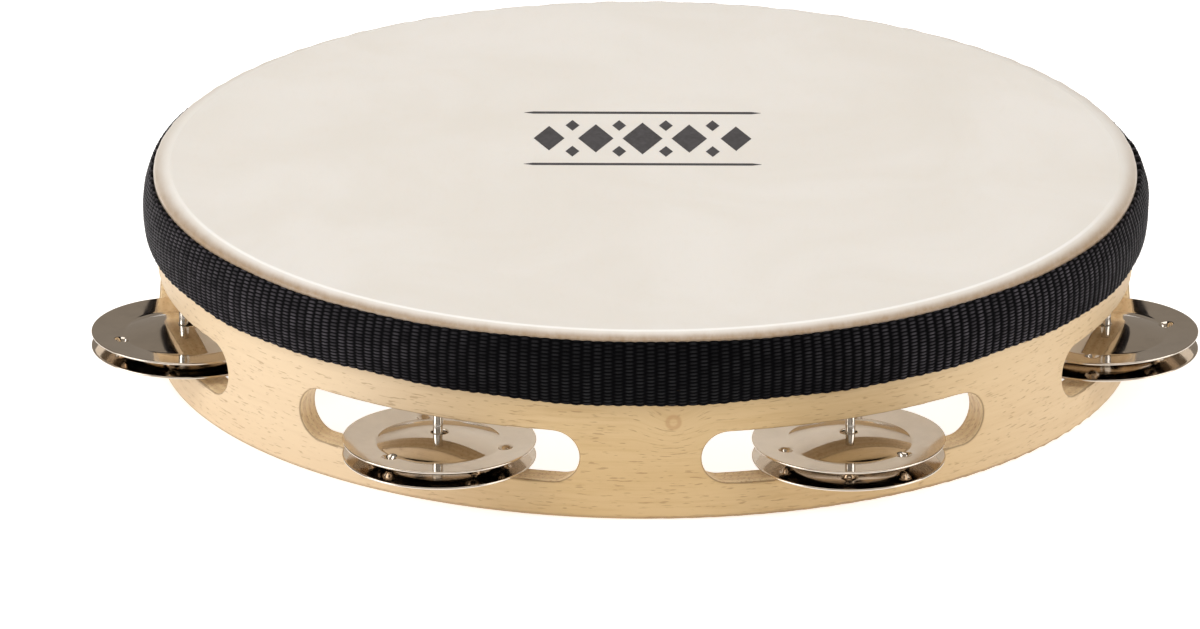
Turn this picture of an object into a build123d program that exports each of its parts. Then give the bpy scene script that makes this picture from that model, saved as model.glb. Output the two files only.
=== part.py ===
from build123d import *
import math
import os

# A headed tambourine. Millimetres. The origin is the centre of the drum's lower rim, on the
# plane it stands on; +Z points up through the drum and -Y is the front.

# Drum shell: a bent wooden hoop with a row of long slots
drum_radius = 127.0
wall = 8.0
shell_height = 50.2
rim_round = 1.2
bearing_round = 4.0
slot_length = 79.5
slot_height = 13.8
slot_floor = 9.7
slot_edge_round = 0.6

# Where the seven slots and the seven pins stand, in degrees round from the front, anticlockwise
# seen from above. They are not quite evenly spaced, and a pin can be a little off its slot's middle.
slot_bearings = [24.9, 76.4, 128.2, 180.0, 231.8, 283.6, 334.0]
pin_bearings = [25.1, 75.0, 127.5, 180.0, 232.5, 285.0, 334.6]

# Head: a thin skin glued over the bearing edge and down the outside of the shell
skin = 0.5
glue_line = 0.05
skirt_bottom = 35.5

# Webbing band glued round the skirt
band_bottom = 33.2
band_top = 48.3
band_thickness = 3.0
band_round = 0.6

# Pins: plain steel pins pressed through each slot from the lower rim
pin_radius = 1.3
pin_circle = 123.8
pin_bottom = 0.8
pin_depth_above_slot = 9.0
pin_tip = 0.4
press_interference = 0.01

# Jingles: cupped sheet discs in pairs, domes facing outwards, held apart by punched dimples. The
# holes are loose on the pins, and each jingle hangs against its pin a little nearer the axis.
jingle_circle = 123.0
jingle_radius = 24.9
jingle_hole_radius = 2.2
sheet = 0.6
dome_rise = 1.7
crease_radius = 16.4
crease_drop = 0.8
dimple_count = 3
dimple_ring = 17.6
dimple_radius = 2.1
dimple_tip_radius = 0.8
dimple_height = 1.4
pit_radius = 1.9
pit_tip_radius = 0.5
pit_floor = 0.5
rest_gap = 0.1

# How far each upper jingle hangs clear of the lower one's dimples, pair 1 to pair 7
pair_gaps = [1.4, 1.2, 0.3, 0.3, 0.3, 0.5, 0.9]

# The direction in which each jingle's first dimple points, pair 1 to pair 7. The two of a pair
# are turned so that no dimple meets another: each one's dimples stand over the other's plate.
upper_dimple_directions = [83.5, 20.0, 35.0, 10.0, 95.0, 78.0, 104.0]
lower_dimple_directions = [30.0, 80.0, 95.0, 70.0, 35.0, 18.0, 62.0]

# Worked out from the sizes above
inner_radius = drum_radius - wall
slot_middle = slot_floor + slot_height / 2
slot_ceiling = slot_floor + slot_height
skirt_inner = drum_radius + glue_line
skirt_outer = skirt_inner + skin
band_inner = skirt_outer + glue_line
lower_rim_height = slot_floor + rest_gap + dome_rise + sheet / 2
plate_drop = crease_drop * (jingle_radius - dimple_ring) / (jingle_radius - crease_radius)
closest_rims = 2 * (plate_drop + sheet / 2) + dimple_height


def direction(bearing):
    """The level unit vector that points outwards at a bearing from the front, which is -Y."""
    turn = math.radians(bearing)
    return Vector(math.sin(turn), -math.cos(turn), 0)


def jingle_plane(bearing, rim_height, facing):
    """A jingle's own plane: its origin in the disc's middle at rim height, its normal upwards
    for a dome on top and downwards for a dome below."""
    return Plane(origin=direction(bearing) * jingle_circle + Vector(0, 0, rim_height),
                 x_dir=(1, 0, 0), z_dir=(0, 0, facing))


def make_jingle(own_plane, dimple_direction):
    """One cupped disc: a dome round its hole, a crease, a shallow dish out to the rim."""
    half = sheet / 2
    middle = (jingle_hole_radius + crease_radius) / 2
    dome_fall = dome_rise + crease_drop
    dome_share = (middle**2 - jingle_hole_radius**2) / (crease_radius**2 - jingle_hole_radius**2)
    dome_middle = dome_rise - dome_fall * dome_share
    with BuildPart() as jingle:
        section = Plane(origin=own_plane.origin, x_dir=own_plane.x_dir, z_dir=-own_plane.y_dir)
        with BuildSketch(section):
            with BuildLine():
                ThreePointArc((jingle_hole_radius, dome_rise + half), (middle, dome_middle + half),
                              (crease_radius, half - crease_drop))
                Line((crease_radius, half - crease_drop), (jingle_radius, half))
                Line((jingle_radius, half), (jingle_radius, -half))
                Line((jingle_radius, -half), (crease_radius, -half - crease_drop))
                ThreePointArc((crease_radius, -half - crease_drop), (middle, dome_middle - half),
                              (jingle_hole_radius, dome_rise - half))
                Line((jingle_hole_radius, dome_rise - half), (jingle_hole_radius, dome_rise + half))
            make_face()
        revolve(axis=Axis(own_plane.origin, own_plane.z_dir))
        tip_height = -plate_drop - half - dimple_height
        with Locations(own_plane.offset(tip_height)):
            with PolarLocations(dimple_ring, dimple_count, start_angle=dimple_direction):
                Cone(dimple_tip_radius, dimple_radius, dimple_height + half,
                     align=(Align.CENTER, Align.CENTER, Align.MIN))
        with Locations(own_plane.offset(tip_height + pit_floor)):
            with PolarLocations(dimple_ring, dimple_count, start_angle=dimple_direction):
                Cone(pit_tip_radius, pit_radius, dimple_height + sheet - pit_floor + half / 2,
                     align=(Align.CENTER, Align.CENTER, Align.MIN), mode=Mode.SUBTRACT)
    return jingle.part


def lies_at(edge, radius):
    """Whether an edge stays at one distance from the drum's axis all along."""
    points = [edge @ (step / 4) for step in range(5)]
    return all(abs(math.hypot(point.X, point.Y) - radius) < 0.01 for point in points)


os.makedirs("parts", exist_ok=True)

# Wooden shell
with BuildPart() as shell:
    with BuildSketch(Plane.XZ):
        with Locations((inner_radius, 0)):
            Rectangle(wall, shell_height, align=(Align.MIN, Align.MIN))
    revolve(axis=Axis.Z)
    for bearing in slot_bearings:
        tangent = direction(bearing + 90)
        outward = direction(bearing)
        with BuildSketch(Plane(origin=(0, 0, slot_middle), x_dir=tangent, z_dir=outward)):
            SlotOverall(slot_length, slot_height)
        extrude(amount=drum_radius + wall, mode=Mode.SUBTRACT)
    slot_edges = shell.edges().filter_by(
        lambda edge: slot_floor - 0.01 < edge.bounding_box().min.Z
        and edge.bounding_box().max.Z < slot_ceiling + 0.01
        and (lies_at(edge, drum_radius) or lies_at(edge, inner_radius)))
    fillet(slot_edges, radius=slot_edge_round)
    circles = shell.edges().filter_by(GeomType.CIRCLE)
    top_edges = circles.group_by(Axis.Z)[-1].sort_by(SortBy.RADIUS)
    fillet(top_edges[-1], radius=bearing_round)
    fillet(shell.edges().filter_by(GeomType.CIRCLE).group_by(Axis.Z)[0], radius=rim_round)
    with BuildSketch(Plane.XY):
        with Locations([direction(bearing) * pin_circle for bearing in pin_bearings]):
            Circle(pin_radius - press_interference)
    extrude(amount=slot_ceiling + pin_depth_above_slot, mode=Mode.SUBTRACT)
shell.part.label = "shell"
export_step(shell.part, "parts/shell.step")

# Skin head: flat over the drum, rolled over the bearing edge, glued down the outside
with BuildPart() as head:
    roll_start = skirt_inner - bearing_round
    roll_centre = shell_height + glue_line - bearing_round
    with BuildSketch(Plane.XZ):
        with BuildLine():
            top = shell_height + glue_line
            Line((0, top), (roll_start, top))
            CenterArc((roll_start, roll_centre), bearing_round, 0, 90)
            Line((skirt_inner, roll_centre), (skirt_inner, skirt_bottom))
            Line((skirt_inner, skirt_bottom), (skirt_outer, skirt_bottom))
            Line((skirt_outer, skirt_bottom), (skirt_outer, roll_centre))
            CenterArc((roll_start, roll_centre), bearing_round + skin, 0, 90)
            Line((roll_start, top + skin), (0, top + skin))
            Line((0, top + skin), (0, top))
        make_face()
    revolve(axis=Axis.Z)
head.part.label = "head"
export_step(head.part, "parts/head.step")

# Webbing band
with BuildPart() as band:
    with BuildSketch(Plane.XZ):
        with Locations((band_inner, band_bottom)):
            Rectangle(band_thickness, band_top - band_bottom, align=(Align.MIN, Align.MIN))
    revolve(axis=Axis.Z)
    outer_edges = band.edges().filter_by(GeomType.CIRCLE).group_by(SortBy.RADIUS)[-1]
    fillet(outer_edges, radius=band_round)
band.part.label = "band"
export_step(band.part, "parts/band.step")

# Pins
for k, bearing in enumerate(pin_bearings, start=1):
    with BuildPart() as pin:
        foot = direction(bearing) * pin_circle + Vector(0, 0, pin_bottom)
        with BuildSketch(Plane(origin=foot, x_dir=(1, 0, 0), z_dir=(0, 0, 1))):
            Circle(pin_radius)
        extrude(amount=slot_ceiling + pin_depth_above_slot - pin_bottom)
        chamfer(pin.edges().filter_by(GeomType.CIRCLE), length=pin_tip)
    pin.part.label = f"pin_{k}"
    export_step(pin.part, f"parts/pin_{k}.step")

# Jingles: the lower one rests on the slot's floor, and the upper one hangs above it
for k, bearing in enumerate(pin_bearings, start=1):
    lower_plane = jingle_plane(bearing, lower_rim_height, -1)
    lower = make_jingle(lower_plane, -lower_dimple_directions[k - 1])
    lower.label = f"jingle_lower_{k}"
    export_step(lower, f"parts/jingle_lower_{k}.step")
    upper_rim_height = lower_rim_height + closest_rims + pair_gaps[k - 1]
    upper_plane = jingle_plane(bearing, upper_rim_height, 1)
    upper = make_jingle(upper_plane, upper_dimple_directions[k - 1])
    upper.label = f"jingle_upper_{k}"
    export_step(upper, f"parts/jingle_upper_{k}.step")
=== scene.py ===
import math

import bpy
import numpy as np
from mathutils import Matrix, Vector


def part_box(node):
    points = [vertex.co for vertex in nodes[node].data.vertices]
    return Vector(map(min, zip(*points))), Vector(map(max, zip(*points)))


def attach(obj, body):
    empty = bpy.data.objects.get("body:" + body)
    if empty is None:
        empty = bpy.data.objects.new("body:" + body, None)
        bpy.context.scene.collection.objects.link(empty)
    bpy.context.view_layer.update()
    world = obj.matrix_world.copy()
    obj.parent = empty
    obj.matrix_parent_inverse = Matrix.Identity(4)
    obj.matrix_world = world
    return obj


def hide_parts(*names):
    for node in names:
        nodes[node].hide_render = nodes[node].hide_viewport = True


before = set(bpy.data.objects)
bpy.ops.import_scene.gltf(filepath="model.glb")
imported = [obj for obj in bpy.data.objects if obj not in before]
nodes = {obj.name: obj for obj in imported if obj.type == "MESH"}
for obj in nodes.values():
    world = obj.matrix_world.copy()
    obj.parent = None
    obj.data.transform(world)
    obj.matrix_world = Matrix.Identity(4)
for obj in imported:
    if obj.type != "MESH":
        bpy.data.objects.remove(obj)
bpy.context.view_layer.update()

# A headed tambourine on a pale floor. Metres, in the CAD model's frame: +Z up, -Y to the front.

# The camera: a long lens, a little above the drum, square to its front
CAMERA_DISTANCE = 6.0
CAMERA_ELEVATION = math.radians(20.55)
CAMERA_ROLL = math.radians(0.17)
PIXELS_PER_METRE = 3830.0
IMAGE_WIDTH = 1200
SENSOR_WIDTH = 36.0
AIM_LEFT = 0.01167
AIM_UP = 0.00804

# Soft light: each box's name, place, size and power in watts. They all aim at the drum's middle.
DRUM_MIDDLE = (0, 0, 0.03)
SOFTBOXES = [("softbox_left", (-1.6, -0.5, 0.8), (1.2, 1.2), 18),
             ("softbox_right", (1.6, -0.5, 0.8), (1.2, 1.2), 12),
             ("softbox_top", (0, 0.2, 1.9), (1.8, 1.8), 16.5),
             ("softbox_front", (0, -2.2, 1.0), (1.4, 0.8), 1)]
STUDIO_COLOUR = (1, 0.89, 0.77, 1)
STUDIO_STRENGTH = 0.31
FLOOR_HALF = 30.0
FLOOR_LEVEL = -0.0002

# Sizes from the CAD model
PAIRS = range(1, 8)
_, SHELL_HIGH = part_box("shell")
HEAD_LOW, HEAD_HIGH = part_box("head")
BAND_LOW, BAND_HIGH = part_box("band")
DRUM_RADIUS = SHELL_HIGH.x
HEAD_RADIUS = HEAD_HIGH.x
BAND_RADIUS = BAND_HIGH.x
DISC_LOW, DISC_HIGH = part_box("jingle_upper_1")
RIM_RADIUS = (DISC_HIGH.x - DISC_LOW.x) / 2

# Skin head: flat to FLAT_END, a bend, a slope, and a roll that is widest at SHOULDER_RADIUS. Small
# puckers start at PUCKER_START and are full PUCKER_WIDTH further out.
SKIN = 0.0005
FLAT_END = 0.1234
BEND_RADIUS = 0.0006
BEND_ANGLE = math.radians(15)
SHOULDER_RADIUS = 0.12805
ROLL_RADIUS = 0.0011
HEAD_SEGMENTS = 360
PUCKER_START = 0.1245
PUCKER_WIDTH = 0.003

# The printed ornament
PRINT_MIDDLE = Vector((-0.0007, 0.0185))
PRINT_STEP = 0.0122
RULE_HALF = (0.031, 0.0008)
RULE_AWAY = 0.0195
DIAMOND_HALF = 0.0052
DIAMOND_SHRINK = 0.0006
DIAMOND_DEPTH_RATIO = 2.3
SMALL_DIAMOND_HALF = (0.0018, 0.0040)
SMALL_DIAMOND_AWAY = 0.0098
INK_LOW = 0.00001
INK_HIGH = 0.00006

# Webbing band: wales run up the band, and floats lie across each wale. Its lap is a little behind
# the right-hand side, it sags at the front, and its top edge drops from the front to the back.
WALES = 300
FLOATS = 18
SAMPLES_PER_WALE = 5
SAMPLES_PER_FLOAT = 4
WEAVE_DEPTH = 0.00042
LAP_ANGLE = math.radians(6)
LAP_WIDTH = math.radians(7)
LAP_RISE = 0.0004
LAP_STEEPNESS = 2.5
BAND_TOP_FRONT = 0.0009
BAND_TOP_BACK = -0.0004
SAG_WIDTH = math.radians(22)
SAG_DROP = 0.0010
TUFT_HEIGHT = 0.00018
BAND_CLEARANCE = 0.0001

# Jingles
SHEET = 0.0006
HOLE_RADIUS = 0.0022
CREASE_RADIUS = 0.0164
CREASE_DROP = 0.0008
CREASE_BLEND = 0.0007
DOME_RISE = 0.0017
DIMPLE_RING = 0.0176
DIMPLE_DEPTH = 0.0014
DIMPLE_RADIUS = 0.0021
PIT_RATIO = 0.93
DIMPLE_STEEPNESS = 1.45
UPPER_DIMPLES = [83.5, 20.0, 35.0, 10.0, 95.0, 78.0, 104.0]
LOWER_DIMPLES = [30.0, 80.0, 95.0, 70.0, 35.0, 18.0, 62.0]


# ---------------------------------------------------------------- node graphs


class Graph:
    """A material's node tree, with short calls for the nodes that the materials use."""

    def __init__(self, name):
        self.material = bpy.data.materials.new(name)
        self.material.use_nodes = True
        self.tree = self.material.node_tree
        self.shader = self.tree.nodes["Principled BSDF"]

    def node(self, kind, **settings):
        made = self.tree.nodes.new(kind)
        for key, value in settings.items():
            setattr(made, key, value)
        return made

    def feed(self, socket, value):
        if isinstance(value, bpy.types.NodeSocket):
            self.tree.links.new(value, socket)
        else:
            socket.default_value = value

    def set(self, **values):
        for key, value in values.items():
            self.feed(self.shader.inputs[key.replace("_", " ")], value)

    def math(self, operation, *values):
        made = self.node("ShaderNodeMath", operation=operation)
        for socket, value in zip(made.inputs, values):
            self.feed(socket, value)
        return made.outputs[0]

    def vector(self, operation, *values):
        made = self.node("ShaderNodeVectorMath", operation=operation)
        for socket, value in zip(made.inputs, values):
            self.feed(socket, value)
        return made.outputs[1 if operation in ("DOT_PRODUCT", "LENGTH") else 0]

    def combine(self, x, y, z):
        made = self.node("ShaderNodeCombineXYZ")
        for socket, value in zip(made.inputs, (x, y, z)):
            self.feed(socket, value)
        return made.outputs[0]

    def split(self, vector):
        made = self.node("ShaderNodeSeparateXYZ")
        self.feed(made.inputs[0], vector)
        return made.outputs

    def noise(self, vector, scale, detail=3.0, roughness=0.55, distortion=0.0):
        made = self.node("ShaderNodeTexNoise")
        self.feed(made.inputs["Vector"], vector)
        made.inputs["Scale"].default_value = scale
        made.inputs["Detail"].default_value = detail
        made.inputs["Roughness"].default_value = roughness
        made.inputs["Distortion"].default_value = distortion
        return made.outputs["Fac"]

    def span(self, value, low, high, to_low=0.0, to_high=1.0):
        made = self.node("ShaderNodeMapRange", interpolation_type="SMOOTHSTEP")
        for socket, one in zip(made.inputs, (value, low, high, to_low, to_high)):
            self.feed(socket, one)
        return made.outputs[0]

    def mix(self, share, first, second):
        made = self.node("ShaderNodeMix", data_type="RGBA")
        self.feed(made.inputs[0], share)
        self.feed(made.inputs[6], first)
        self.feed(made.inputs[7], second)
        return made.outputs[2]

    def bump(self, height, distance, strength=1.0, after=None):
        made = self.node("ShaderNodeBump")
        made.inputs["Strength"].default_value = strength
        made.inputs["Distance"].default_value = distance
        self.feed(made.inputs["Height"], height)
        if after is not None:
            self.feed(made.inputs["Normal"], after)
        return made.outputs[0]

    def position(self):
        return self.node("ShaderNodeTexCoord").outputs["Object"]

    def round_the_drum(self):
        """The place on the drum's wall: way round in metres, height, distance from the axis."""
        x, y, z = self.split(self.position())
        turn = self.math("ARCTAN2", x, self.math("MULTIPLY", y, -1.0))
        radius = self.math("SQRT", self.math("ADD", self.math("MULTIPLY", x, x),
                                             self.math("MULTIPLY", y, y)))
        return self.math("MULTIPLY", turn, DRUM_RADIUS), z, radius

    def facing_out(self):
        """1 on the drum's cylinder faces, 0 on faces that look along the wall or up and down."""
        normal = self.node("ShaderNodeNewGeometry").outputs["Normal"]
        x, y, _ = self.split(self.position())
        outward = self.vector("NORMALIZE", self.combine(x, y, 0.0))
        return self.math("ABSOLUTE", self.vector("DOT_PRODUCT", normal, outward))


def rgb(red, green, blue):
    """An sRGB colour, 0 to 255, as a linear RGBA tuple."""
    def linear(value):
        share = value / 255
        return share / 12.92 if share <= 0.04045 else ((share + 0.055) / 1.055) ** 2.4
    return (linear(red), linear(green), linear(blue), 1.0)


# ---------------------------------------------------------------- materials

WOOD_LIGHT = rgb(210, 181, 134)
WOOD_MIDDLE = rgb(197, 165, 114)
WOOD_DARK = rgb(179, 143, 91)
WOOD_PORE = rgb(140, 104, 62)
# Painted side light: the colour the wall is painted towards the left and right sides
WOOD_SIDE_LIGHT_PAINT = rgb(228, 206, 177)
WOOD_KNOT = rgb(176, 132, 84)
# Painted shade at the slot edges and along the bottom of the wall
WOOD_EDGE_SHADE = rgb(118, 90, 60)
CUT_LIGHT = rgb(248, 224, 182)
CUT_DARK = rgb(240, 212, 170)
CUT_GRAIN = rgb(192, 154, 110)
KNOT_WAY = 0.0072
KNOT_HEIGHT = 0.0267


def make_wood():
    """Pale hardwood: long grain round the hoop, short dark pores, a small knot at the front, and
    plainer cut faces in the slots. It is painted paler towards the sides as painted light, and a
    darker line round the slot edges and along the bottom of the wall is painted shade."""
    g = Graph("wood")
    way, height, radius = g.round_the_drum()
    from_knot = g.vector("LENGTH", g.combine(g.math("SUBTRACT", way, KNOT_WAY),
                                             g.math("SUBTRACT", height, KNOT_HEIGHT), 0.0))
    swirl = g.math("MULTIPLY", g.span(from_knot, 0.0, 0.012, 1.0, 0.0), 0.004)
    level = g.math("ADD", height, swirl)
    grain = g.combine(g.math("MULTIPLY", way, 0.06), level, g.math("MULTIPLY", radius, 0.4))
    fine = g.combine(g.math("MULTIPLY", way, 0.05), level, radius)
    pores = g.combine(g.math("MULTIPLY", way, 0.15), level, radius)
    broad = g.noise(grain, 55.0, detail=4.0, distortion=0.6)
    streak = g.noise(fine, 1100.0, detail=3.0, roughness=0.65)
    cloud = g.noise(g.position(), 14.0, detail=2.0)
    fleck = g.span(g.noise(pores, 2200.0, detail=1.5, roughness=0.4), 0.62, 0.72)
    colour = g.mix(g.span(broad, 0.3, 0.7), WOOD_MIDDLE, WOOD_LIGHT)
    colour = g.mix(g.math("MULTIPLY", g.span(streak, 0.45, 0.75), 0.4), colour, WOOD_DARK)
    colour = g.mix(g.math("MULTIPLY", g.span(cloud, 0.35, 0.7), 0.25), colour, WOOD_LIGHT)
    # Painted light: the wall is painted paler towards the left and right sides, where the side lights
    # fall.
    painted_side_light = g.math("ADD", g.span(way, -0.015, -0.08, 0.0, 0.6), g.span(way, 0.03, 0.13, 0.0, 0.35))
    colour = g.mix(painted_side_light, colour, WOOD_SIDE_LIGHT_PAINT)
    colour = g.mix(g.math("MULTIPLY", fleck, 0.4), colour, WOOD_PORE)
    ring = g.math("PINGPONG", g.math("ADD", from_knot, g.math("MULTIPLY", broad, 0.0012)), 0.0011)
    in_knot = g.span(from_knot, 0.0019, 0.0026, 1.0, 0.0)
    knot = g.math("MULTIPLY", in_knot, g.span(ring, 0.0002, 0.0009, 0.5, 0.1))
    colour = g.mix(knot, colour, WOOD_KNOT)
    layer = g.span(g.math("PINGPONG", radius, 0.0013), 0.0003, 0.001)
    cut_grain = g.noise(g.combine(way, g.math("MULTIPLY", height, 0.3), radius), 1500.0, detail=3.0)
    cut = g.mix(layer, CUT_DARK, CUT_LIGHT)
    cut = g.mix(g.math("MULTIPLY", g.span(cut_grain, 0.5, 0.7), 0.6), cut, CUT_GRAIN)
    facing = g.facing_out()
    # Painted shade: a darker line where the wall turns at the slot edges and along the bottom of the
    # wall.
    edge = g.math("MULTIPLY", g.span(facing, 0.3, 0.5), g.span(facing, 0.8, 0.97, 1.0, 0.0))
    edge = g.math("MAXIMUM", edge, g.span(height, 0.0004, 0.0014, 1.0, 0.0))
    surface = g.mix(g.span(facing, 0.35, 0.8), cut, colour)
    g.set(Base_Color=g.mix(g.math("MULTIPLY", edge, 0.55), surface, WOOD_EDGE_SHADE),
          Roughness=g.span(streak, 0.2, 0.8, 0.42, 0.6),
          Specular_IOR_Level=0.4, Coat_Weight=0.1, Coat_Roughness=0.35)
    relief = g.math("SUBTRACT", g.math("MULTIPLY", streak, 0.35), fleck)
    g.set(Normal=g.bump(relief, 0.00006, 0.8))
    return g.material


def make_skin():
    """A smooth cream drum skin, a little cloudy, with faint fibres and pores. At the front a thin
    painted highlight runs where it bends over the shell's edge, and the roll is painted darker all
    round as shade, most at the front."""
    g = Graph("skin")
    place = g.position()
    cloud = g.noise(place, 18.0, detail=4.0, roughness=0.6, distortion=0.8)
    fibre = g.noise(g.vector("MULTIPLY", place, (1.0, 0.25, 1.0)), 700.0, detail=4.0, roughness=0.7)
    pore = g.noise(place, 2600.0, detail=2.0)
    colour = g.mix(g.span(cloud, 0.3, 0.7), rgb(238, 234, 227), rgb(241, 238, 233))
    colour = g.mix(g.math("MULTIPLY", g.span(fibre, 0.5, 0.75), 0.08), colour, rgb(226, 214, 198))
    _, _, radius = g.round_the_drum()
    _, y, _ = g.split(place)
    # Painted highlight: a thin paler line along the bend at the front.
    painted_front_highlight = g.math("MULTIPLY", g.span(radius, FLAT_END - 0.0003, FLAT_END + 0.0001),
                       g.span(radius, FLAT_END + 0.0005, FLAT_END + 0.0011, 1.0, 0.0))
    # Painted shade: the roll is painted darker all round, most at the front, where it turns away from
    # the light.
    painted_roll_shade = g.math("MULTIPLY", g.span(radius, FLAT_END + 0.0005, SHOULDER_RADIUS - 0.0004),
                   g.span(fibre, 0.2, 0.8, 0.8, 1.0))
    painted_front_highlight = g.math("MULTIPLY", painted_front_highlight, g.span(y, -0.01, -0.07))
    painted_roll_shade = g.math("MULTIPLY", painted_roll_shade, g.span(y, 0.04, -0.06, 0.25, 1.0))
    colour = g.mix(painted_front_highlight, colour, rgb(255, 253, 249))
    colour = g.mix(painted_roll_shade, colour, rgb(166, 140, 110))
    g.set(Base_Color=colour, Roughness=g.span(cloud, 0.2, 0.8, 0.36, 0.46),
          Specular_IOR_Level=0.4, Subsurface_Weight=0.2, Subsurface_Scale=0.0004,
          Subsurface_Radius=(1.0, 0.9, 0.78))
    g.set(Normal=g.bump(pore, 0.00002, 0.6, g.bump(fibre, 0.00003, 0.5)))
    return g.material


def make_webbing():
    """Black woven webbing: only the crowns of the floats catch the light, and yarn lines run along
    them. The crowns are painted greyer at the drum's sides as painted side light. The band's UV map
    counts wales across and floats up."""
    g = Graph("webbing")
    across, up, _ = g.split(g.node("ShaderNodeTexCoord").outputs["UV"])
    odd = g.math("MULTIPLY", g.math("MODULO", g.math("FLOOR", across), 2.0), 0.5)
    over = g.math("PINGPONG", across, 0.5)
    along = g.math("PINGPONG", g.math("ADD", up, odd), 0.5)
    crown = g.math("MULTIPLY", g.span(over, 0.04, 0.38), g.span(along, 0.08, 0.4))
    worn = g.noise(g.combine(g.math("FLOOR", across), g.math("MULTIPLY", up, 0.25), 0.0), 0.9)
    crown = g.math("MULTIPLY", crown, g.span(worn, 0.3, 0.7, 0.35, 1.0))
    yarn = g.noise(g.combine(across, g.math("MULTIPLY", up, 6.0), 0.0), 2.2, detail=2.0)
    dust = g.noise(g.position(), 1400.0, detail=3.0)
    tone = g.noise(g.position(), 60.0, detail=2.0)
    x, _, _ = g.split(g.position())
    # Painted light: the crowns are painted greyer towards the drum's sides, where the side lights
    # fall.
    painted_side_light_on_crowns = g.span(g.math("ABSOLUTE", x), 0.02, 0.11)
    crown_colour = g.mix(painted_side_light_on_crowns, rgb(19, 19, 23), rgb(78, 73, 80))
    colour = g.mix(crown, rgb(4, 4, 5), crown_colour)
    colour = g.mix(g.math("MULTIPLY", g.span(yarn, 0.35, 0.7), 0.5), colour, rgb(10, 9, 12))
    colour = g.mix(g.math("MULTIPLY", g.span(dust, 0.62, 0.8), 0.15), colour, rgb(52, 50, 56))
    colour = g.mix(g.math("MULTIPLY", g.span(tone, 0.4, 0.7), 0.3), colour, rgb(6, 6, 8))
    g.set(Base_Color=colour, Roughness=g.span(yarn, 0.3, 0.7, 0.4, 0.6),
          Specular_IOR_Level=g.math("MULTIPLY_ADD", crown, 0.16, 0.02))
    g.set(Normal=g.bump(yarn, 0.00005, 0.8))
    return g.material


def make_nickel(name, roughness_low, roughness_high, tint):
    """Bright nickel plate, with faint handling haze and fine scratches."""
    g = Graph(name)
    place = g.position()
    haze = g.noise(place, 160.0, detail=4.0, roughness=0.6)
    scratch = g.noise(g.vector("MULTIPLY", place, (1.0, 0.06, 1.0)), 2600.0, detail=2.0)
    grain = g.noise(place, 900.0, detail=2.0)
    colour = g.mix(g.span(haze, 0.35, 0.7), tint, tuple(0.93 * c for c in tint[:3]) + (1.0,))
    shine = g.math("ADD", g.span(haze, 0.3, 0.75, roughness_low, roughness_high),
                   g.math("MULTIPLY", g.span(scratch, 0.6, 0.8), 0.03))
    g.set(Base_Color=colour, Metallic=1.0, Roughness=shine)
    g.set(Normal=g.bump(grain, 0.000004, 0.4))
    return g.material


def make_print_ink():
    """Dark grey screen-printing ink, a little uneven."""
    g = Graph("print_ink")
    patch = g.noise(g.position(), 900.0, detail=3.0)
    g.set(Base_Color=g.mix(g.span(patch, 0.35, 0.7), rgb(58, 57, 60), rgb(78, 76, 79)),
          Roughness=g.span(patch, 0.3, 0.7, 0.45, 0.6))
    return g.material


def make_floor_white():
    """A white floor that also glows, so that it stays white under the soft light."""
    g = Graph("floor_white")
    g.set(Base_Color=(0.93, 0.93, 0.93, 1.0), Roughness=0.8, Specular_IOR_Level=0.1,
          Emission_Color=(1.0, 1.0, 1.0, 1.0), Emission_Strength=0.6)
    return g.material


# ---------------------------------------------------------------- mesh helpers


def link_object(name, data):
    made = bpy.data.objects.new(name, data)
    bpy.context.scene.collection.objects.link(made)
    return made


def grid_object(name, points, material):
    """A smooth mesh from points[row][column]. Its rows and columns close on themselves."""
    rows, columns, _ = points.shape
    r, c = np.meshgrid(np.arange(rows), np.arange(columns), indexing="ij")
    next_r, next_c = (r + 1) % rows, (c + 1) % columns
    corners = np.stack([r * columns + c, r * columns + next_c,
                        next_r * columns + next_c, next_r * columns + c], axis=-1)
    mesh = bpy.data.meshes.new(name)
    mesh.from_pydata(points.reshape(-1, 3).tolist(), [], corners.reshape(-1, 4).tolist())
    mesh.polygons.foreach_set("use_smooth", [True] * len(mesh.polygons))
    mesh.materials.append(material)
    mesh.update()
    return link_object(name, mesh)


def turned(section, angles):
    """points[row][column]: each (radius, height) of a section, turned round the Z axis."""
    section = np.asarray(section, float)
    return np.stack([section[:, :1] * np.sin(angles), -section[:, :1] * np.cos(angles),
                     np.repeat(section[:, 1:], len(angles), axis=1)], axis=-1)


def ripple(angles, *waves):
    """A sum of waves round the drum, each an amplitude, how many times it goes round, and a phase."""
    return sum(amplitude * np.sin(times * angles + phase) for amplitude, times, phase in waves)


def smooth_step(value):
    value = np.clip(value, 0.0, 1.0)
    return value * value * (3 - 2 * value)


# ---------------------------------------------------------------- head


def arc(centre, radius, first, last, count):
    """Points on an arc in the section, by angle from straight up; the first one is left out."""
    return [(centre[0] + radius * math.sin(angle), centre[1] + radius * math.cos(angle))
            for angle in np.linspace(first, last, count + 1)[1:]]


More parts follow.
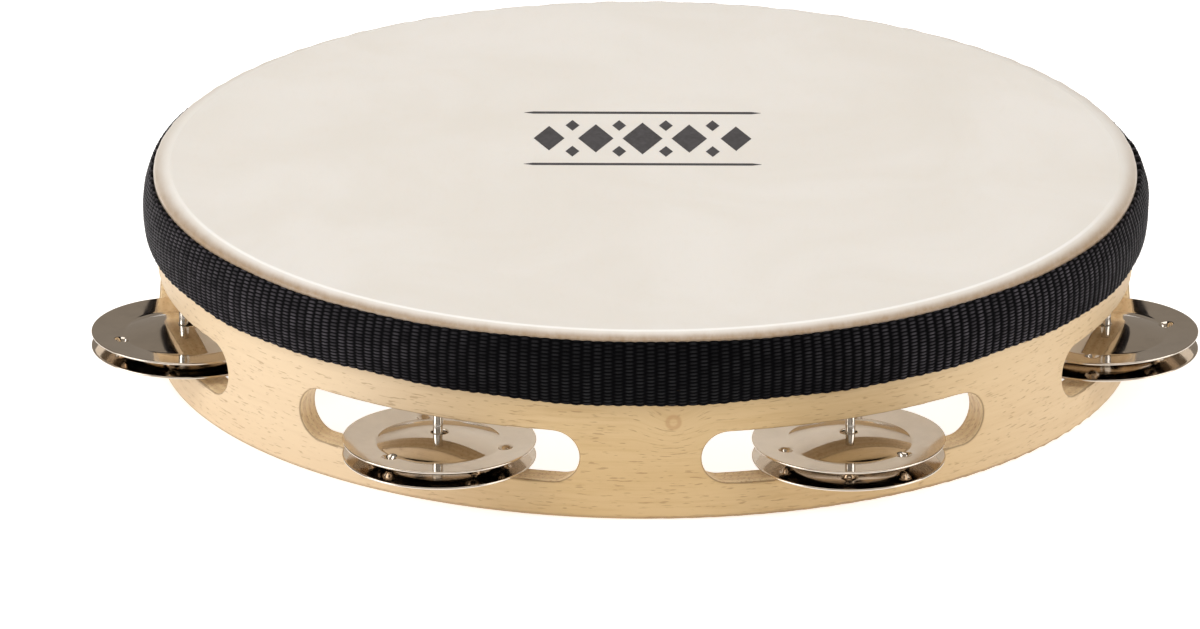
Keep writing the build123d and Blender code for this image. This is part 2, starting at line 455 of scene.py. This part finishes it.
def head_outline(offset):
    """The skin's outer line, moved inwards by an offset: flat, a crisp bend, a gentle slope over
    the shell's round, a tight roll, and a skirt that closes on the shell under the band."""
    top = HEAD_HIGH.z
    radii = [0.00002, 0.0001, *np.linspace(0.003, FLAT_END - 0.0002, 40), FLAT_END]
    points = [(radius, top - offset) for radius in radii]
    points += arc((FLAT_END, top - BEND_RADIUS), BEND_RADIUS - offset, 0, BEND_ANGLE, 8)
    roll_x = SHOULDER_RADIUS - ROLL_RADIUS
    bend_x = FLAT_END + BEND_RADIUS * math.sin(BEND_ANGLE)
    bend_z = top - BEND_RADIUS * (1 - math.cos(BEND_ANGLE))
    slope_end_x = roll_x + ROLL_RADIUS * math.sin(BEND_ANGLE)
    slope_end_z = bend_z - (slope_end_x - bend_x) * math.tan(BEND_ANGLE)
    roll_z = slope_end_z - ROLL_RADIUS * math.cos(BEND_ANGLE)
    points.append((slope_end_x - offset * math.sin(BEND_ANGLE),
                   slope_end_z - offset * math.cos(BEND_ANGLE)))
    points += arc((roll_x, roll_z), ROLL_RADIUS - offset, BEND_ANGLE, math.pi / 2, 14)
    for share in np.linspace(0, 1, 8)[1:]:
        narrowing = (SHOULDER_RADIUS - HEAD_RADIUS) * float(smooth_step(share * 2.2))
        points.append((SHOULDER_RADIUS - narrowing - offset,
                       roll_z + share * (HEAD_LOW.z - roll_z)))
    return points


def make_head(material):
    outer = head_outline(0.0)
    section = outer + head_outline(SKIN)[::-1]
    angles = np.linspace(0, 2 * math.pi, HEAD_SEGMENTS, endpoint=False)
    points = turned(section, angles)
    radius = np.hypot(points[..., 0], points[..., 1])
    pucker = 0.00009 * np.sin(67 * angles + 1.3 * np.sin(5 * angles))
    pucker += 0.00006 * np.sin(113 * angles + 2.0)
    points[..., 2] += pucker[None, :] * smooth_step((radius - PUCKER_START) / PUCKER_WIDTH)
    head = grid_object("head_skin", points, material)
    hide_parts("head")
    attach(head, "frame")


def diamond(centre, half_width, half_depth):
    x, y = centre
    return [(x - half_width, y), (x, y - half_depth), (x + half_width, y), (x, y + half_depth)]


def bar(centre, half_width, half_depth):
    """A rule with tapered ends."""
    x, y = centre
    inner = half_width - 3 * half_depth
    return [(x - half_width, y), (x - inner, y - half_depth), (x + inner, y - half_depth),
            (x + half_width, y), (x + inner, y + half_depth), (x - inner, y + half_depth)]


def make_print(material):
    """A plain printed ornament: a row of diamonds between two tapered rules."""
    x, y = PRINT_MIDDLE
    outlines = [bar((x, y + side * RULE_AWAY), *RULE_HALF) for side in (-1, 1)]
    for place in range(-2, 3):
        half = DIAMOND_HALF - DIAMOND_SHRINK * abs(place)
        outlines.append(diamond((x + place * PRINT_STEP, y), half, half * DIAMOND_DEPTH_RATIO))
    for place in range(-2, 2):
        for side in (-1, 1):
            centre = (x + (place + 0.5) * PRINT_STEP, y + side * SMALL_DIAMOND_AWAY)
            outlines.append(diamond(centre, *SMALL_DIAMOND_HALF))
    low, high = HEAD_HIGH.z + INK_LOW, HEAD_HIGH.z + INK_HIGH
    vertices, faces = [], []
    for outline in outlines:
        first, count = len(vertices), len(outline)
        vertices += [(x, y, low) for x, y in outline] + [(x, y, high) for x, y in outline]
        faces.append([first + count + k for k in range(count)])
        faces.append([first + k for k in reversed(range(count))])
        for k in range(count):
            after = (k + 1) % count
            faces.append([first + k, first + after, first + count + after, first + count + k])
    mesh = bpy.data.meshes.new("head_print")
    mesh.from_pydata(vertices, [], faces)
    mesh.materials.append(material)
    made = link_object("head_print", mesh)
    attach(made, "frame")


# ---------------------------------------------------------------- band


def band_side(share):
    """How far the band stands outside the CAD band, by share of its height: it bellies a little
    in the middle and leans in over the head's roll at the top."""
    heights = [0.0, 0.1, 0.3, 0.5, 0.7, 0.85, 0.95, 1.0]
    stands = [-0.0006, -0.0001, 0.0003, 0.0004, 0.0001, -0.0006, -0.0011, -0.0017]
    return np.interp(share, heights, stands)


def count_weave(band, columns, rows):
    """A UV map whose U counts wales round the band and whose V counts floats up it."""
    corner = np.zeros(len(band.data.loops), dtype=np.int32)
    band.data.loops.foreach_get("vertex_index", corner)
    column = (corner % columns).reshape(-1, 4)
    row = np.minimum(corner // columns, rows - 1).reshape(-1, 4)
    column = np.where((column == 0) & (column.max(axis=1, keepdims=True) > 1), columns, column)
    uv = np.stack([column / SAMPLES_PER_WALE, row / SAMPLES_PER_FLOAT], axis=-1)
    layer = band.data.uv_layers.new(name="weave")
    layer.data.foreach_set("uv", uv.astype(np.float32).ravel())


def make_band(material):
    rows = FLOATS * SAMPLES_PER_FLOAT + 1
    columns = WALES * SAMPLES_PER_WALE
    angles = np.linspace(0, 2 * math.pi, columns, endpoint=False)
    share = np.linspace(0, 1, rows)[:, None]
    wale = np.arange(columns) / SAMPLES_PER_WALE
    across = wale - np.floor(wale)
    step = (np.floor(wale) % 2) * 0.5
    up = share * FLOATS + step[None, :]
    up = up - np.floor(up)
    crown = np.sqrt(np.sin(math.pi * (across + 0.5 / SAMPLES_PER_WALE)).clip(0))[None, :]
    float_round = 0.3 + 0.7 * np.sqrt(np.sin(math.pi * up).clip(0))
    weave = WEAVE_DEPTH * crown * float_round

    low_wave = ripple(angles, (0.00022, 9, 0.6), (0.00015, 23, 2.1))
    from_front = np.mod(angles + math.pi, 2 * math.pi) - math.pi
    low_wave -= SAG_DROP * smooth_step(1 - np.abs(from_front) / SAG_WIDTH)
    top_wave = ripple(angles, (0.00010, 7, 2.4), (0.00008, 19, 0.4))
    tuft = TUFT_HEIGHT * np.sin(math.pi * across)
    lap = smooth_step(1 - np.abs(angles - (math.pi / 2 + LAP_ANGLE)) / LAP_WIDTH)
    lap = smooth_step(lap * LAP_STEEPNESS) * LAP_RISE
    low = BAND_LOW.z + low_wave - tuft
    back = (1 - np.cos(angles)) / 2
    top_shift = BAND_TOP_FRONT + (BAND_TOP_BACK - BAND_TOP_FRONT) * back
    high = BAND_HIGH.z + top_shift + top_wave + tuft
    height = low[None, :] + share * (high - low)[None, :]
    belly = ripple(angles, (0.00012, 5, 1.0), (0.00008, 13, 0.0))
    radius = BAND_RADIUS - WEAVE_DEPTH + band_side(share) + weave + lap[None, :] + belly[None, :]
    outer = np.stack([radius * np.sin(angles), -radius * np.cos(angles), height], axis=-1)
    round_shoulder, round_skirt = SHOULDER_RADIUS + BAND_CLEARANCE, HEAD_RADIUS + BAND_CLEARANCE
    inner = [np.stack([inside * np.sin(angles), -inside * np.cos(angles), level], axis=-1)[None]
             for inside, level in ((round_shoulder, high - 0.0002), (round_shoulder, high - 0.0030),
                                   (round_skirt, low + 0.0080), (round_skirt, low + 0.0003))]
    band = grid_object("band_webbing", np.concatenate([outer, *inner]), material)
    count_weave(band, columns, rows)
    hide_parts("band")
    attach(band, "frame")


# ---------------------------------------------------------------- jingles


def sheet_height(radius):
    """The middle of the sheet above the rim plane, with the crease rounded off."""
    dome_fall = DOME_RISE + CREASE_DROP
    span = CREASE_RADIUS**2 - HOLE_RADIUS**2
    dome = DOME_RISE - dome_fall * (radius**2 - HOLE_RADIUS**2) / span
    dish = -CREASE_DROP * (RIM_RADIUS - radius) / (RIM_RADIUS - CREASE_RADIUS)
    share = smooth_step((radius - CREASE_RADIUS + CREASE_BLEND) / (2 * CREASE_BLEND))
    return dome * (1 - share) + dish * share


def jingle_angles(dimples):
    """Directions round a disc, closer together where it has a dimple."""
    coarse = np.radians(np.arange(0, 360, 4.0))
    near = [math.radians(dimples + 120 * k + a) for k in range(3) for a in np.arange(-9, 9.1, 1.1)]
    merged = np.sort(np.mod(np.concatenate([coarse, near]), 2 * math.pi))
    keep = np.concatenate([[True], np.diff(merged) > math.radians(0.6)])
    return merged[keep]


def make_jingle(node, dimples, facing, material):
    """A cupped disc in place of a CAD jingle, with its dome up (facing 1) or down (facing -1)."""
    low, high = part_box(node)
    middle = (low + high) / 2
    rim_height = high.z - DOME_RISE - SHEET / 2 if facing > 0 else low.z + DOME_RISE + SHEET / 2
    radii = np.concatenate([np.linspace(HOLE_RADIUS, 0.0046, 6), np.linspace(0.0062, 0.0144, 9),
                            np.linspace(0.0149, 0.0206, 16), np.linspace(0.0213, 0.0243, 6)])
    angles = jingle_angles(dimples)
    half = SHEET / 2
    edge = [(RIM_RADIUS - half + half * math.sin(a), half * math.cos(a))
            for a in np.linspace(0.0, math.pi, 7)]
    rows_radius = np.concatenate([radii, [e[0] for e in edge], radii[::-1]])
    offset = np.concatenate([np.full(len(radii), half), [e[1] for e in edge],
                             np.full(len(radii), -half)])
    radius = rows_radius[:, None]
    height = sheet_height(np.minimum(radius, RIM_RADIUS)) + offset[:, None]
    pressed = np.zeros((len(rows_radius), len(angles)))
    for k in range(3):
        spot = math.radians(dimples + 120 * k)
        distance = np.hypot(radius * np.cos(angles) - DIMPLE_RING * math.cos(spot),
                            radius * np.sin(angles) - DIMPLE_RING * math.sin(spot))
        wide = np.where(offset[:, None] > 0, DIMPLE_RADIUS * PIT_RATIO, DIMPLE_RADIUS)
        pressed += smooth_step((1 - distance / wide) * DIMPLE_STEEPNESS) * DIMPLE_DEPTH
    height = height - pressed
    points = np.stack([middle.x + radius * np.cos(angles), middle.y + radius * np.sin(angles),
                       rim_height + facing * height], axis=-1)
    if facing < 0:
        points = points[::-1]
    disc = grid_object(node + "_disc", points, material)
    kind, number = node.split("_")[1:]
    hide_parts(node)
    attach(disc, f"{kind}_{number}")


# ---------------------------------------------------------------- stage


def add_floor(material):
    corners = [(-FLOOR_HALF, -FLOOR_HALF), (FLOOR_HALF, -FLOOR_HALF),
               (FLOOR_HALF, FLOOR_HALF), (-FLOOR_HALF, FLOOR_HALF)]
    mesh = bpy.data.meshes.new("floor")
    mesh.from_pydata([(x, y, FLOOR_LEVEL) for x, y in corners], [], [(0, 1, 2, 3)])
    mesh.materials.append(material)
    link_object("floor", mesh)


def add_softbox(name, place, size, power):
    light = bpy.data.lights.new(name, "AREA")
    light.shape = "RECTANGLE"
    light.size, light.size_y = size
    light.energy = power
    lamp = link_object(name, light)
    lamp.location = place
    to_drum = Vector(DRUM_MIDDLE) - Vector(place)
    lamp.rotation_euler = to_drum.to_track_quat("-Z", "Y").to_euler()


def light_scene():
    for softbox in SOFTBOXES:
        add_softbox(*softbox)
    world = bpy.data.worlds.new("studio")
    world.use_nodes = True
    background = world.node_tree.nodes["Background"]
    background.inputs["Color"].default_value = STUDIO_COLOUR
    background.inputs["Strength"].default_value = STUDIO_STRENGTH
    bpy.context.scene.world = world
    bpy.context.scene.view_settings.view_transform = "Standard"


def add_camera():
    data = bpy.data.cameras.new("camera")
    data.sensor_width = SENSOR_WIDTH
    data.lens = PIXELS_PER_METRE * CAMERA_DISTANCE * SENSOR_WIDTH / IMAGE_WIDTH
    data.clip_start = 0.1
    data.clip_end = 60.0
    camera = link_object("camera", data)
    back = Vector((0, -math.cos(CAMERA_ELEVATION), math.sin(CAMERA_ELEVATION)))
    up = Vector((0, math.sin(CAMERA_ELEVATION), math.cos(CAMERA_ELEVATION)))
    aim = Vector((-AIM_LEFT, 0, 0)) + up * AIM_UP
    turn = Matrix((Vector((1, 0, 0)), up, back)).transposed() @ Matrix.Rotation(CAMERA_ROLL, 3, "Z")
    camera.matrix_world = Matrix.Translation(aim + back * CAMERA_DISTANCE) @ turn.to_4x4()
    bpy.context.scene.camera = camera


# ---------------------------------------------------------------- build

wood = make_wood()
jingle_metal = make_nickel("jingle_metal", 0.05, 0.13, (0.65, 0.58, 0.50, 1.0))
pin_steel = make_nickel("pin_steel", 0.10, 0.2, (0.74, 0.73, 0.71, 1.0))

nodes["shell"].data.materials.clear()
nodes["shell"].data.materials.append(wood)
for k in PAIRS:
    nodes[f"pin_{k}"].data.materials.clear()
    nodes[f"pin_{k}"].data.materials.append(pin_steel)

make_head(make_skin())
make_print(make_print_ink())
make_band(make_webbing())
for k in PAIRS:
    make_jingle(f"jingle_lower_{k}", LOWER_DIMPLES[k - 1], -1, jingle_metal)
    make_jingle(f"jingle_upper_{k}", UPPER_DIMPLES[k - 1], 1, jingle_metal)

add_floor(make_floor_white())
light_scene()
add_camera()
